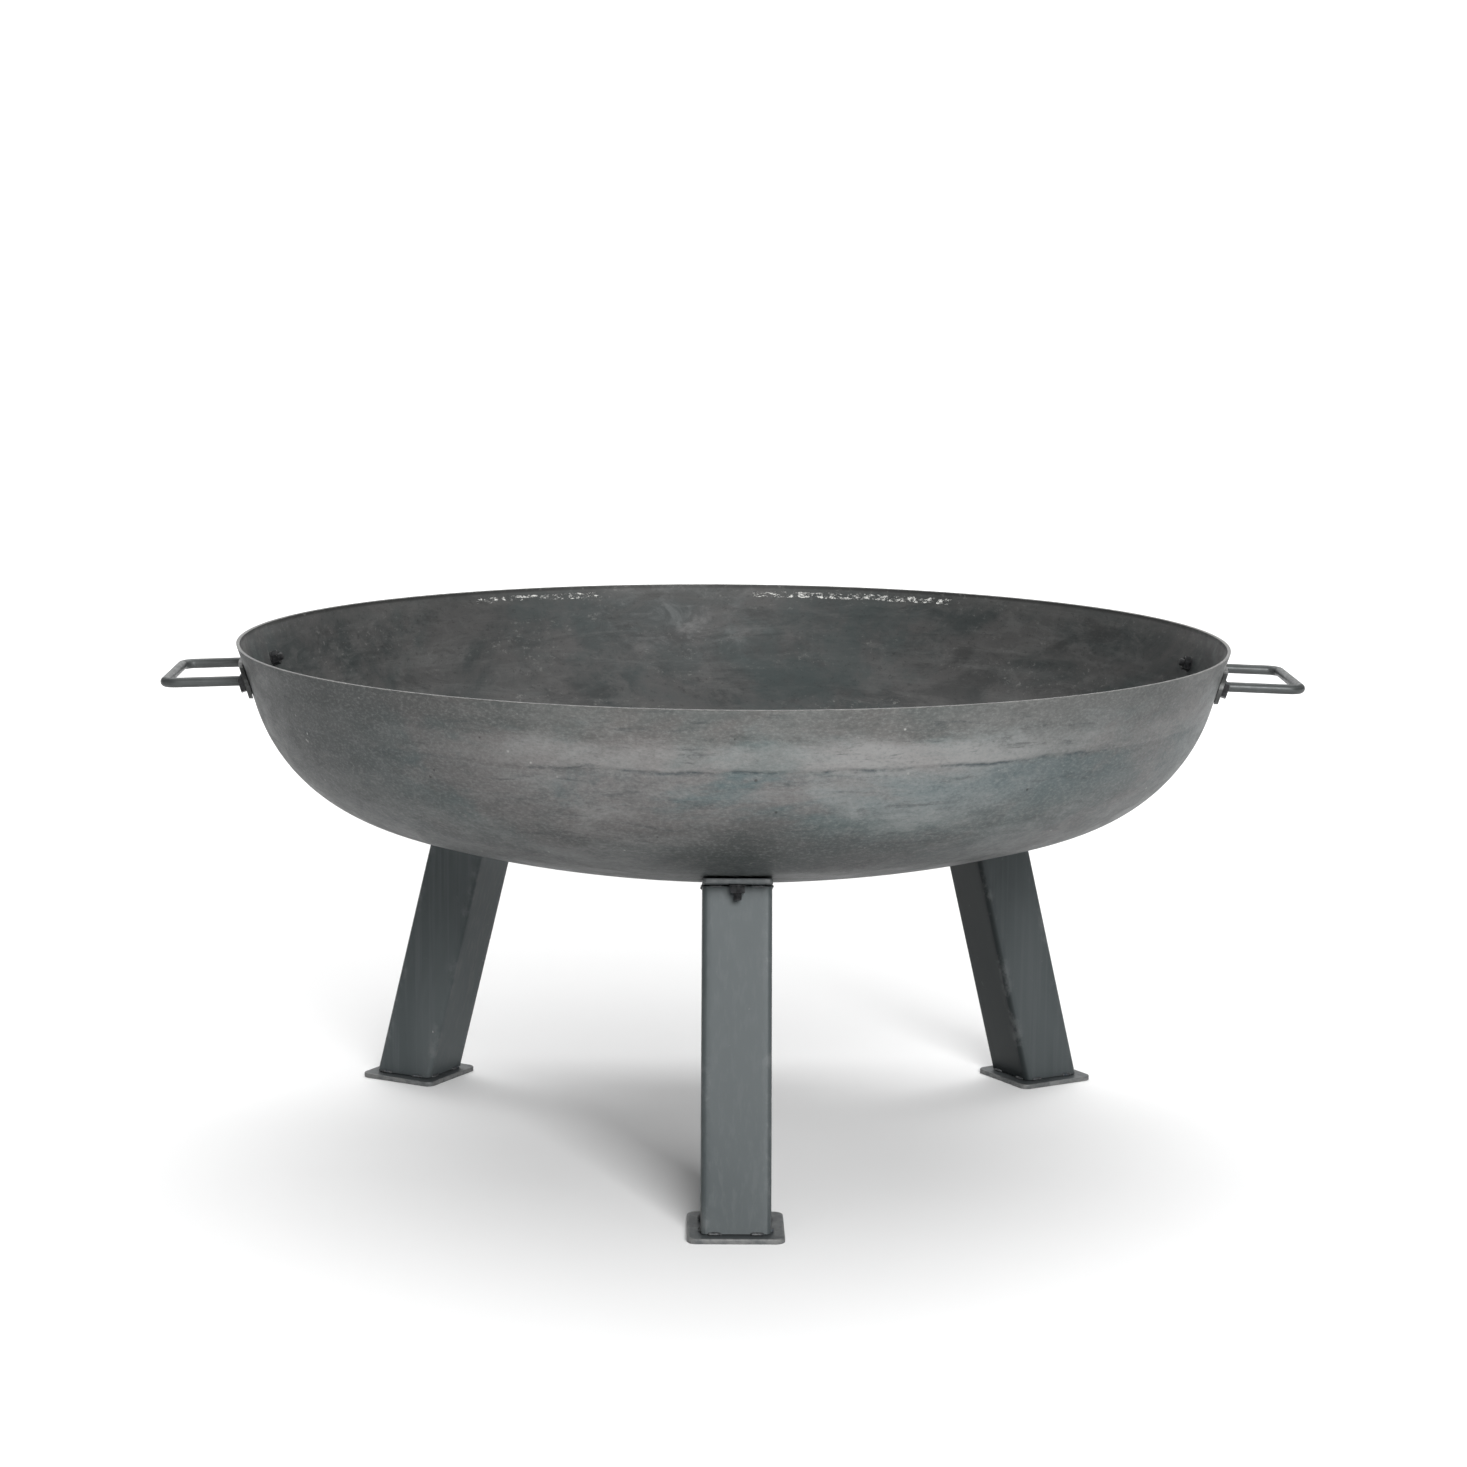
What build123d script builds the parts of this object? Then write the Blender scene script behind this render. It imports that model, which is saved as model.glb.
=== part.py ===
from build123d import *
import os
from math import asin, cos, degrees, radians, sin, sqrt

# Open steel fire bowl on three splayed square-tube legs, with two rod handles.
# Origin on the floor under the bowl's axis, +Z up, front leg towards -Y, handles on +X and -X.

os.makedirs("parts", exist_ok=True)

# ---- bowl, mm ----
sheet = 3.0                  # steel sheet
rim_radius = 500.0           # outside of the rim
rim_height = 504.0           # rim above the floor
wall_lean = 16.7             # straight upper wall, degrees from vertical
wall_length = 61.8           # along the slope
knuckle_radius = 169.9       # outside bend between wall and crown
crown_radius = 1261.0        # outside of the dished bottom

# ---- legs ----
leg_angles = {"front": -90.0, "right": 30.0, "left": 150.0}
leg_tilt = 15.2              # degrees from vertical, foot outwards
leg_radius = 387.3           # leg axis from the bowl's axis, at the foot plate's top
tube_size = 65.0
tube_wall = 3.0
tube_corner = 5.0
plate = 5.0                  # foot and top plates
foot_size = 90.0
foot_corner = 9.0
top_length = 120.0           # along the radius
top_width = 65.0
top_corner = 4.0
root_gap = 1.2               # open joint under the tack welds
leg_bolt_reach = 45.0        # bolts each side of the leg axis
bead_radius = 2.2
bead_length = 9.0
bead_offset = 19.5

# ---- handles ----
handle_angles = {"right": 0.0, "left": 180.0}
handle_z = 467.5             # middle of the flange plate
flange = 4.0                 # flange plate thickness
flange_length = 204.0
flange_height = 31.0
rod_radius = 5.0
rod_reach = 567.0            # grip centreline from the bowl's axis
rod_spacing = 144.0          # between the two arms
rod_bend = 13.0
rod_droop = 2.0              # degrees
handle_bolt_spacing = 179.0
collar_base, collar_top, collar_height = 8.9, 6.3, 4.6

# ---- M8 fasteners ----
shank = 4.0
clearance_hole = 4.5
head_flats, head_height = 13.0, 5.3
nut_height, nut_bore = 6.5, 4.02
washer_outer, washer_inner, washer_height = 8.0, 4.2, 1.6
leg_thread_end = 6.6         # bolt end past the nut
handle_thread_end = 4.0

# ---- derived bowl geometry: (radius, height) points of the outer skin ----
lean = radians(wall_lean)
wall_foot = (rim_radius - wall_length * sin(lean), rim_height - wall_length * cos(lean))
knuckle = (wall_foot[0] - knuckle_radius * cos(lean), wall_foot[1] + knuckle_radius * sin(lean))
crown = (0.0, knuckle[1] + sqrt((crown_radius - knuckle_radius) ** 2 - knuckle[0] ** 2))
blend = asin(knuckle[0] / (crown_radius - knuckle_radius))      # where knuckle meets crown
wall_turn = radians(90.0) - lean


def skin_radius(z, offset=0.0):
    """Radius of the straight wall's outer face at height z, moved out by offset."""
    return rim_radius - (rim_height - z) * sin(lean) / cos(lean) + offset / cos(lean)


def arc_points(centre, radius, start, end):
    """Start, middle and end of an arc; angles are measured from straight down."""
    angles = (start, (start + end) / 2, end)
    return [(centre[0] + radius * sin(a), centre[1] - radius * cos(a)) for a in angles]


def make_bowl(holes):
    """Dished sheet with a bend and a leaning wall, drilled for the legs and handles."""
    edges = []
    rims = []
    for inset in (0.0, sheet):
        bend = arc_points(knuckle, knuckle_radius - inset, wall_turn, blend)
        dish = arc_points(crown, crown_radius - inset, blend, 0.0)
        rim = (skin_radius(rim_height, -inset), rim_height)
        edges += [Line(rim, bend[0]), ThreePointArc(*bend), ThreePointArc(*dish)]
        rims.append(rim)
    low = crown[1] - crown_radius
    edges += [Line((0, low), (0, low + sheet)), Line(*rims)]
    bowl = revolve(Plane.XZ * make_face(edges), Axis.Z)
    return bowl - holes


# ---- fasteners: z = 0 is the face that bears on the work, the head or nut stands up from it ----
def hexagon(flats, height, both_ends):
    """Hexagon with turned corners on its free face, or on both."""
    corner = flats / 2 / cos(radians(30))
    turned = Pos(0, 0, height / 2) * Cylinder(corner, height)
    ends = turned.edges().filter_by(GeomType.CIRCLE).sort_by(Axis.Z)
    turned = chamfer(ends if both_ends else ends[-1:], 0.55, 0.95)
    return extrude(RegularPolygon(flats / 2, 6, major_radius=False), height) & turned


def make_bolt(length):
    rod = Pos(0, 0, -length / 2) * Cylinder(shank, length)
    rod = chamfer(rod.edges().filter_by(GeomType.CIRCLE).sort_by(Axis.Z)[:1], 0.8)
    return hexagon(head_flats, head_height, False) + rod


def make_nut():
    return hexagon(head_flats, nut_height, True) - Pos(0, 0, nut_height / 2) * Cylinder(nut_bore, 20)


def make_washer():
    ring = Cylinder(washer_outer, washer_height) - Cylinder(washer_inner, washer_height)
    return Pos(0, 0, washer_height / 2) * ring


def bolted_set(head_place, nut_place, length):
    """Bolt from one side, washer and nut from the other; both places point away from the work."""
    return {
        "bolt": head_place * make_bolt(length),
        "washer": nut_place * make_washer(),
        "nut": nut_place * Pos(0, 0, washer_height) * make_nut(),
    }


# ---- legs, made on the +X side and then turned into place ----
tilt = radians(leg_tilt)
run = (leg_radius, plate - crown[1])
along = -run[0] * sin(tilt) + run[1] * cos(tilt)
leg_length = -along - sqrt(along ** 2 - run[0] ** 2 - run[1] ** 2 + crown_radius ** 2)
seat = (leg_radius - leg_length * sin(tilt), plate + leg_length * cos(tilt))
slope = asin(seat[0] / crown_radius)
seat_plane = Plane((seat[0], 0, seat[1]), (cos(slope), 0, sin(slope)), (-sin(slope), 0, cos(slope)))
leg_plane = Plane((leg_radius, 0, plate), (cos(tilt), 0, sin(tilt)), (-sin(tilt), 0, cos(tilt)))
head_corner = head_flats / 2 / cos(radians(30))
head_rest = crown_radius - sqrt((crown_radius - sheet) ** 2 - (leg_bolt_reach + head_corner) ** 2) + 0.01


def leg_hole(side):
    return seat_plane * Pos(side * leg_bolt_reach, 0, 0) * Cylinder(clearance_hole, 40)


def make_tube():
    ring = RectangleRounded(tube_size, tube_size, tube_corner)
    ring -= RectangleRounded(tube_size - 2 * tube_wall, tube_size - 2 * tube_wall, tube_corner - tube_wall)
    tube = leg_plane * Pos(0, 0, -40) * extrude(ring, leg_length + 80)
    tube -= Pos(leg_radius, 0, plate + root_gap - 100) * Box(300, 300, 200)
    return tube - seat_plane * Pos(0, 0, 100 - plate - root_gap) * Box(300, 300, 200)


def make_foot_plate():
    outline = RectangleRounded(foot_size, foot_size, foot_corner)
    return Pos(leg_radius, 0, 0) * extrude(outline, plate)


def make_top_plate():
    outline = RectangleRounded(top_length, top_width, top_corner)
    body = seat_plane * extrude(outline, -plate)
    return body - leg_hole(-1) - leg_hole(1)


def make_bead():
    """A short weld run along X with rounded ends."""
    bead = Rot(0, 90, 0) * Cylinder(bead_radius, bead_length)
    for end in (-1, 1):
        bead += Pos(end * bead_length / 2, 0, 0) * Sphere(bead_radius)
    return bead


def make_tacks(place, half_x, half_y, *joined):
    """Two weld runs on each side of the tube, filling the open joint beneath them."""
    runs = []
    for shift in (-bead_offset, bead_offset):
        for side in (-1, 1):
            runs.append(place * Pos(shift, side * half_y, 0) * make_bead())
            runs.append(place * Pos(side * half_x, shift, 0) * Rot(0, 0, 90) * make_bead())
    trimmed = []
    for weld in runs:
        for part in joined:
            weld = weld - part
        trimmed += weld.solids()
    return Compound(trimmed)


def make_leg():
    tube, foot, top = make_tube(), make_foot_plate(), make_top_plate()
    half = tube_size / 2
    foot_joint = Pos(leg_radius, 0, plate + root_gap / 2)
    top_joint = seat_plane * Pos(0, 0, -plate - root_gap / 2)
    nodes = {
        "tube": tube,
        "foot_plate": foot,
        "top_plate": top,
        "foot_welds": make_tacks(foot_joint, half / cos(tilt), half, tube, foot),
        "top_welds": make_tacks(top_joint, half, half, tube, top),
    }
    length = head_rest + plate + washer_height + nut_height + leg_thread_end
    for name, side in (("outer", 1), ("inner", -1)):
        spot = seat_plane * Pos(side * leg_bolt_reach, 0, 0)
        under = spot * Pos(0, 0, -plate) * Rot(180, 0, 0)
        for piece, shape in bolted_set(spot * Pos(0, 0, head_rest), under, length).items():
            nodes[name + "_" + piece] = shape
    return nodes


# ---- handles, made on the +X side and then turned into place ----
wall_radius = skin_radius(handle_z)
core_low, core_high = handle_z - 60, handle_z + 60
washer_rest = washer_outer ** 2 / 2 / (wall_radius - sheet) + 0.01     # flat washer in a round wall


def wall_place(y, offset=0.0):
    """Frame on the wall at the handle's height, z out of the wall, offset away from it."""
    turn = asin(y / skin_radius(handle_z, offset))
    out = (cos(lean) * cos(turn), cos(lean) * sin(turn), -sin(lean))
    foot = (wall_radius * cos(turn), wall_radius * sin(turn), handle_z)
    origin = [foot[i] + offset * out[i] for i in range(3)]
    return Plane(tuple(origin), (-sin(turn), cos(turn), 0), out)


def cone_to(offset):
    """Everything inside the wall's outer face moved out by offset."""
    corners = [(0, core_low), (skin_radius(core_low, offset), core_low),
               (skin_radius(core_high, offset), core_high), (0, core_high)]
    return revolve(Plane.XZ * make_face(Polyline(*corners, close=True)), Axis.Z)


def handle_hole(side):
    return wall_place(side * handle_bolt_spacing / 2) * Cylinder(clearance_hole, 40)


def make_flange():
    """Flange plate bent to the wall, with round ends."""
    outline = Plane.YZ.offset(400) * SlotOverall(flange_length, flange_height)
    blank = Pos(0, 0, handle_z) * extrude(outline, 150)
    return (blank & cone_to(flange)) - cone_to(0.0) - handle_hole(-1) - handle_hole(1)


def make_rod(core):
    """Round bar bent to a U, its ends cut to the flange plate."""
    start, half = wall_radius - 30, rod_spacing / 2
    corners = [(start, -half), (rod_reach, -half), (rod_reach, half), (start, half)]
    path = FilletPolyline(*corners, radius=rod_bend)
    bar = sweep(Plane(path @ 0, z_dir=path % 0) * Circle(rod_radius), path)
    hinge = Pos(wall_radius + flange, 0, handle_z)
    return hinge * Rot(0, rod_droop, 0) * Pos(-wall_radius - flange, 0, 0) * bar - core


def make_handle():
    core = cone_to(flange)
    rod = make_rod(core)
    collars = []
    for side in (-1, 1):
        spot = wall_place(side * rod_spacing / 2, flange) * Pos(0, 0, collar_height / 2 - 1.0)
        collars += (spot * Cone(collar_base, collar_top, collar_height) - rod - core).solids()
    nodes = {"rod": rod, "plate": make_flange(), "welds": Compound(collars)}
    length = flange + sheet + washer_rest + washer_height + nut_height + handle_thread_end
    for name, side in (("front", -1), ("rear", 1)):
        spot = wall_place(side * handle_bolt_spacing / 2)
        inside = spot * Pos(0, 0, -sheet - washer_rest) * Rot(180, 0, 0)
        for piece, shape in bolted_set(spot * Pos(0, 0, flange), inside, length).items():
            nodes[name + "_" + piece] = shape
    return nodes


# ---- assembly ----
def turned(shape, angle):
    return Rot(0, 0, angle) * shape


parts = {}
holes = []
leg = make_leg()
for name, angle in leg_angles.items():
    holes += [turned(leg_hole(side), angle) for side in (-1, 1)]
    for piece, shape in leg.items():
        parts["leg_" + name + "_" + piece] = turned(shape, angle)

handle = make_handle()
for name, angle in handle_angles.items():
    swap = {"front": "rear", "rear": "front"} if angle else {}
    holes += [turned(handle_hole(side), angle) for side in (-1, 1)]
    for piece, shape in handle.items():
        end, _, rest = piece.partition("_")
        label = swap.get(end, end) + ("_" + rest if rest else "")
        parts["handle_" + name + "_" + label] = turned(shape, angle)

parts["bowl"] = make_bowl(holes)

for node, shape in parts.items():
    export_step(shape, "parts/" + node + ".step")
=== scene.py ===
import math
import random

import bmesh
import bpy
import numpy as np
from mathutils import Matrix, Vector


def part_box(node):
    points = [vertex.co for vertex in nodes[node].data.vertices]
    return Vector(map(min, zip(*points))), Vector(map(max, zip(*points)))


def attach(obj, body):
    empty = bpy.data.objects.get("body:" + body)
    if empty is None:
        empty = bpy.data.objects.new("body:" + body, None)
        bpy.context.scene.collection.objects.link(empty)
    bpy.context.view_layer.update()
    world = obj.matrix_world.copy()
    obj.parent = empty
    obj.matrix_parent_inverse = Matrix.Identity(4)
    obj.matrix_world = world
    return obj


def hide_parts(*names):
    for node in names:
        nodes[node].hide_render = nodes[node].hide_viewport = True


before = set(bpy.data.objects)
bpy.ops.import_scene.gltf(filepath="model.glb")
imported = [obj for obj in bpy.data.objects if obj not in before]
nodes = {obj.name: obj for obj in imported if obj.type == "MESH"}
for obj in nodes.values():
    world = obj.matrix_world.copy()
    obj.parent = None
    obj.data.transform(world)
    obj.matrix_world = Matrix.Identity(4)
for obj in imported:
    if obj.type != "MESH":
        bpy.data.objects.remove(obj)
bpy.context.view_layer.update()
scene = bpy.context.scene

LEGS = ("front", "right", "left")
HANDLES = ("right", "left")
UP = Vector((0, 0, 1))

# The bowl: its sheet, its cut rim, a wall that leans out, a bend under the wall and a dished bottom.
SHEET, RIM_RADIUS, RIM_Z = 0.003, 0.500, 0.504
LEAN, WALL = math.radians(16.7), 0.0618
KNUCKLE, CROWN = 0.1699, 1.261


# ---------------------------------------------------------------- materials
# Sockets of a Mix node that mixes colours.
FIRST_COLOUR, SECOND_COLOUR, MIXED_COLOUR = 6, 7, 2


class Shader:
    """One procedural material, built up in coats. Textures use object space, in metres."""

    def __init__(self, name, metallic, specular=0.5, tone=0.72):
        self.tone = tone
        self.colour = None
        self.mat = bpy.data.materials.new(name)
        self.mat.use_nodes = True
        self.tree = self.mat.node_tree
        self.bsdf = self.tree.nodes["Principled BSDF"]
        self.bsdf.inputs["Metallic"].default_value = metallic
        self.bsdf.inputs["Specular IOR Level"].default_value = specular
        self.space = self.tree.nodes.new("ShaderNodeTexCoord").outputs["Object"]

    def put(self, socket, value):
        """Links or sets a socket; a plain colour is scaled by the material's tone."""
        if isinstance(value, bpy.types.NodeSocket):
            self.tree.links.new(value, socket)
        elif isinstance(value, tuple) and socket.type == "RGBA":
            socket.default_value = (*(self.tone * part for part in value), 1.0)
        else:
            socket.default_value = value

    def add(self, kind, inputs=(), **settings):
        node = self.tree.nodes.new("ShaderNode" + kind)
        for key, value in settings.items():
            setattr(node, key, value)
        for key, value in dict(inputs).items():
            self.put(node.inputs[key], value)
        return node

    def scaled(self, stretch, shift):
        """Object space stretched along each axis; a different shift gives a pattern of its own."""
        away = (shift, shift * 0.7, -shift)
        return self.add("Mapping", {"Vector": self.space, "Scale": stretch, "Location": away}).outputs[0]

    def noise(self, scale, stretch=(1, 1, 1), shift=0.0, detail=4.0, rough=0.55, warp=0.0):
        inputs = {"Vector": self.scaled(stretch, shift), "Scale": scale, "Detail": detail,
                  "Roughness": rough, "Distortion": warp}
        return self.add("TexNoise", inputs).outputs["Fac"]

    def cells(self, scale, shift):
        where = self.scaled((1, 1, 1), shift)
        return self.add("TexVoronoi", {"Vector": where, "Scale": scale}).outputs["Distance"]

    def band(self, value, low, high, to_low=0.0, to_high=1.0):
        """Value eased from low..high to to_low..to_high."""
        inputs = {"Value": value, "From Min": low, "From Max": high, "To Min": to_low, "To Max": to_high}
        return self.add("MapRange", inputs, interpolation_type="SMOOTHSTEP").outputs[0]

    def math(self, how, first, second):
        node = self.add("Math", operation=how)
        self.put(node.inputs[0], first)
        self.put(node.inputs[1], second)
        return node.outputs[0]

    def plus(self, first, second):
        return self.math("ADD", first, second)

    def times(self, first, second):
        return self.math("MULTIPLY", first, second)

    def mix(self, mask, first, second):
        node = self.add("Mix", data_type="RGBA", blend_type="MIX")
        self.put(node.inputs["Factor"], mask)
        self.put(node.inputs[FIRST_COLOUR], first)
        self.put(node.inputs[SECOND_COLOUR], second)
        return node.outputs[MIXED_COLOUR]

    def ground(self, mask, first, second):
        """The colour under every coat: first where mask is 0, second where it is 1."""
        self.colour = self.mix(mask, first, second)

    def wash(self, mask, tint):
        """Lays tint over the colour so far, as far as mask says."""
        self.colour = self.mix(mask, self.colour, tint)

    def coat(self, value, low, high, strength, tint):
        """Lays tint over the colour so far: none where value is at low, and strength at high."""
        self.wash(self.band(value, low, high, 0.0, strength), tint)

    def axis(self, which):
        return self.add("SeparateXYZ", {"Vector": self.space}).outputs[which]

    def attribute(self, name):
        return self.add("Attribute", attribute_name=name).outputs["Fac"]

    def bump(self, height, strength, distance, under=None):
        node = self.add("Bump", {"Height": height, "Strength": strength, "Distance": distance})
        if under is not None:
            self.put(node.inputs["Normal"], under)
        return node.outputs[0]

    def done(self, rough, normal=None):
        self.put(self.bsdf.inputs["Base Color"], self.colour)
        self.put(self.bsdf.inputs["Roughness"], rough)
        if normal is not None:
            self.put(self.bsdf.inputs["Normal"], normal)
        return self.mat


def brighter(colour, times):
    return tuple(part * times for part in colour)


def bowl_outside():
    """Grey, cloudy mill scale, darker at the rim; painted shade down the bowl, towards both handles and
    along the fold; painted shade and reflection over the legs; a painted highlight above the fold.
    """
    steel = Shader("bowl_outside", 0.14, 0.14, 0.85)
    cloud = steel.noise(3.1, (1, 1, 2.2), detail=8.0, rough=0.66, warp=0.3)
    tint = steel.noise(4.0, (1, 1, 2.2), shift=4.0, detail=8.0, rough=0.68, warp=0.4)
    steel.ground(steel.band(tint, 0.44, 0.56), (0.088, 0.110, 0.110), (0.134, 0.127, 0.125))
    steel.coat(cloud, 0.45, 0.59, 0.80, (0.200, 0.208, 0.206))
    patch = steel.noise(6.5, (1, 1, 2.6), shift=31.0, detail=8.0, rough=0.72, warp=0.4)
    steel.coat(patch, 0.50, 0.62, 0.50, (0.062, 0.070, 0.070))
    mottle = steel.noise(26.0, (1, 1, 2.2), shift=13.0, detail=7.0, rough=0.74, warp=0.5)
    steel.coat(mottle, 0.49, 0.66, 0.34, (0.058, 0.064, 0.064))
    bloom = steel.noise(17.0, (1, 1, 2.0), shift=23.0, detail=7.0, rough=0.74, warp=0.6)
    steel.coat(bloom, 0.50, 0.66, 0.30, (0.225, 0.228, 0.224))
    streak = steel.noise(1.0, (9, 9, 95), detail=7.0, rough=0.72, warp=0.35)
    steel.coat(streak, 0.48, 0.66, 0.26, (0.225, 0.230, 0.228))

    height = steel.axis(2)
    ragged = steel.plus(height, steel.band(patch, 0.3, 0.7, -0.014, 0.014))
    rim = steel.band(ragged, RIM_Z - 0.042, RIM_Z - 0.016)
    steel.wash(steel.times(rim, 0.62), (0.084, 0.082, 0.078))
    # Painted shade: darker down the bowl, towards the bottom.
    ragged = steel.plus(height, steel.band(cloud, 0.3, 0.7, -0.03, 0.03))
    steel.coat(ragged, RIM_Z - 0.089, RIM_Z - 0.174, 0.85, (0.054, 0.057, 0.057))
    bruise = steel.times(steel.attribute("bruise"), steel.band(tint, 0.40, 0.58, 0.55, 0.10))
    steel.wash(bruise, (0.074, 0.104, 0.112))
    # Painted highlight: a lighter band above the fold, strongest at the front.
    warm = steel.times(steel.attribute("warm"), steel.band(cloud, 0.42, 0.60, 0.34, 0.58))
    steel.wash(warm, (0.236, 0.234, 0.230))
    # Painted shade: darker towards both handles, most towards the left one.
    steel.coat(steel.axis(0), -0.12, -0.43, 0.92, (0.050, 0.054, 0.054))
    steel.coat(steel.axis(0), 0.14, 0.40, 0.48, (0.060, 0.064, 0.064))
    # Painted shade and reflection of each leg, on the bowl over its seat.
    seat = steel.times(steel.attribute("seat"), steel.band(patch, 0.35, 0.60, 0.45, 0.80))
    steel.wash(seat, (0.036, 0.042, 0.041))

    dark = steel.noise(1.0, (16, 16, 110), shift=9.0, detail=7.0, rough=0.74, warp=0.6)
    steel.coat(dark, 0.54, 0.68, 0.60, (0.046, 0.052, 0.054))
    # Painted shade: a broken dark line along the fold.
    broken = steel.noise(1.0, (22, 22, 40), shift=17.0, detail=5.0, rough=0.7)
    broken = steel.times(steel.attribute("crease"), steel.band(broken, 0.44, 0.60, 0.06, 0.90))
    steel.wash(broken, (0.034, 0.046, 0.052))
    speck = steel.cells(70.0, 3.0)
    gate = steel.band(steel.noise(38.0, shift=7.0, detail=2.0), 0.58, 0.64)
    dots = steel.times(steel.band(speck, 0.14, 0.07), gate)
    steel.wash(steel.times(dots, 0.75), (0.030, 0.030, 0.030))
    fleck = steel.cells(75.0, 12.0)
    gate = steel.band(steel.noise(30.0, shift=15.0, detail=2.0), 0.60, 0.66)
    chips = steel.times(steel.band(fleck, 0.13, 0.05), gate)
    steel.wash(steel.times(chips, 0.6), (0.42, 0.42, 0.40))
    grain = steel.noise(1.0, (230, 230, 420), detail=5.0, rough=0.75)
    steel.coat(grain, 0.46, 0.68, 0.26, (0.255, 0.255, 0.250))
    steel.coat(grain, 0.48, 0.34, 0.24, (0.045, 0.048, 0.048))

    normal = steel.bump(mottle, 0.30, 0.0010)
    normal = steel.bump(grain, 0.25, 0.0004, normal)
    broad, fine = steel.band(cloud, 0.3, 0.7, 0.40, 0.50), steel.band(mottle, 0.35, 0.65, -0.05, 0.06)
    return steel.done(steel.plus(broad, fine), normal)


def bowl_inside():
    """Darker scale with dust, stains and a broken line of chalky marks under the rim at the back."""
    steel = Shader("bowl_inside", 0.15, 0.35, 0.75)
    cloud = steel.noise(3.0, (1, 1, 1.4), detail=8.0, rough=0.68, warp=0.9)
    steel.ground(steel.band(cloud, 0.43, 0.57), (0.046, 0.053, 0.053), (0.082, 0.081, 0.080))
    mottle = steel.noise(21.0, (1, 1, 1.8), shift=3.0, detail=7.0, rough=0.74, warp=0.7)
    steel.coat(mottle, 0.49, 0.64, 0.55, (0.112, 0.112, 0.110))
    stain = steel.noise(9.0, (1, 1, 2.6), shift=17.0, detail=7.0, rough=0.72, warp=0.8)
    steel.coat(stain, 0.51, 0.63, 0.55, (0.034, 0.036, 0.036))
    streak = steel.noise(1.0, (9, 9, 70), shift=5.0, detail=7.0, rough=0.72, warp=0.6)
    steel.coat(streak, 0.49, 0.66, 0.36, (0.125, 0.128, 0.126))
    teal = steel.noise(4.5, shift=8.0, detail=7.0, rough=0.66, warp=0.4)
    steel.coat(teal, 0.50, 0.62, 0.55, (0.046, 0.063, 0.063))

    height = steel.axis(2)
    ragged = steel.plus(height, steel.band(mottle, 0.3, 0.7, -0.006, 0.006))
    top = steel.band(ragged, RIM_Z - 0.026, RIM_Z - 0.010)
    steel.wash(steel.times(top, 0.35), (0.100, 0.098, 0.095))
    steel.coat(height, RIM_Z - 0.0050, RIM_Z - 0.0025, 0.75, (0.030, 0.030, 0.029))

    dust = steel.noise(1.0, (130, 130, 200), shift=2.0, detail=5.0, rough=0.78)
    cover = steel.noise(9.0, (1, 1, 3), shift=6.0, detail=3.0)
    cover = steel.band(cover, 0.44, 0.62, 0.1, 1.0)
    pale = steel.times(steel.band(dust, 0.56, 0.68), cover)
    steel.wash(steel.times(pale, 0.50), (0.24, 0.24, 0.23))
    steel.coat(dust, 0.44, 0.34, 0.45, (0.026, 0.027, 0.027))
    chalk = steel.noise(1.0, (115, 115, 280), shift=1.0, detail=7.0, rough=0.80, warp=0.4)
    chalk = steel.band(steel.times(chalk, steel.attribute("chalk")), 0.593, 0.616)
    steel.wash(chalk, (0.85, 0.85, 0.82))

    normal = steel.bump(mottle, 0.28, 0.0010)
    normal = steel.bump(dust, 0.22, 0.0004, normal)
    normal = steel.bump(chalk, 0.5, 0.0006, normal)
    return steel.done(steel.band(mottle, 0.35, 0.65, 0.48, 0.68), normal)


def bare_rim():
    steel = Shader("bowl_rim", 0.5)
    fine_noise = steel.noise(1.0, (120, 120, 120), rough=0.7)
    steel.ground(steel.band(fine_noise, 0.35, 0.7), (0.085, 0.085, 0.083), (0.24, 0.24, 0.23))
    return steel.done(steel.band(fine_noise, 0.3, 0.7, 0.35, 0.55), steel.bump(fine_noise, 0.3, 0.0003))


def leg_steel():
    """Satin grey with faint draw lines, rubbed and chipped corners and a heat tint at both ends."""
    steel = Shader("leg_steel", 0.10, 0.16, 0.84)
    cloud = steel.noise(7.0, (1, 1, 0.5), warp=0.4)
    steel.ground(steel.band(cloud, 0.40, 0.60), (0.063, 0.074, 0.077), (0.084, 0.096, 0.099))
    draw = steel.noise(1.0, (210, 210, 5.0), detail=3.0, rough=0.6)
    steel.coat(draw, 0.46, 0.68, 0.35, (0.105, 0.115, 0.119))
    # Each leg darkened by its own amount; the extra darkening of the right leg's inner face is painted
    # shade.
    steel.wash(steel.attribute("shade"), (0.016, 0.020, 0.021))
    scuff = steel.noise(1.0, (40, 40, 60), shift=3.0, detail=6.0, rough=0.75, warp=0.6)
    steel.coat(scuff, 0.66, 0.74, 0.45, (0.22, 0.23, 0.23))
    edge = steel.attribute("edge")
    worn = steel.noise(1.0, (35, 35, 26), shift=5.0, detail=6.0, rough=0.72)
    worn = steel.times(steel.band(worn, 0.50, 0.66), edge)
    steel.wash(steel.times(worn, 0.22), (0.22, 0.225, 0.225))
    chip = steel.noise(1.0, (60, 60, 45), shift=21.0, detail=3.0, rough=0.6)
    chip = steel.times(steel.band(chip, 0.715, 0.735), edge)
    steel.wash(chip, (0.50, 0.50, 0.49))
    steel.wash(steel.times(steel.attribute("heat"), 0.22), (0.034, 0.043, 0.055))
    normal = steel.bump(draw, 0.10, 0.0004)
    normal = steel.bump(steel.math("SUBTRACT", scuff, chip), 0.12, 0.0006, normal)
    return steel.done(steel.band(cloud, 0.3, 0.7, 0.36, 0.48), normal)


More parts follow.
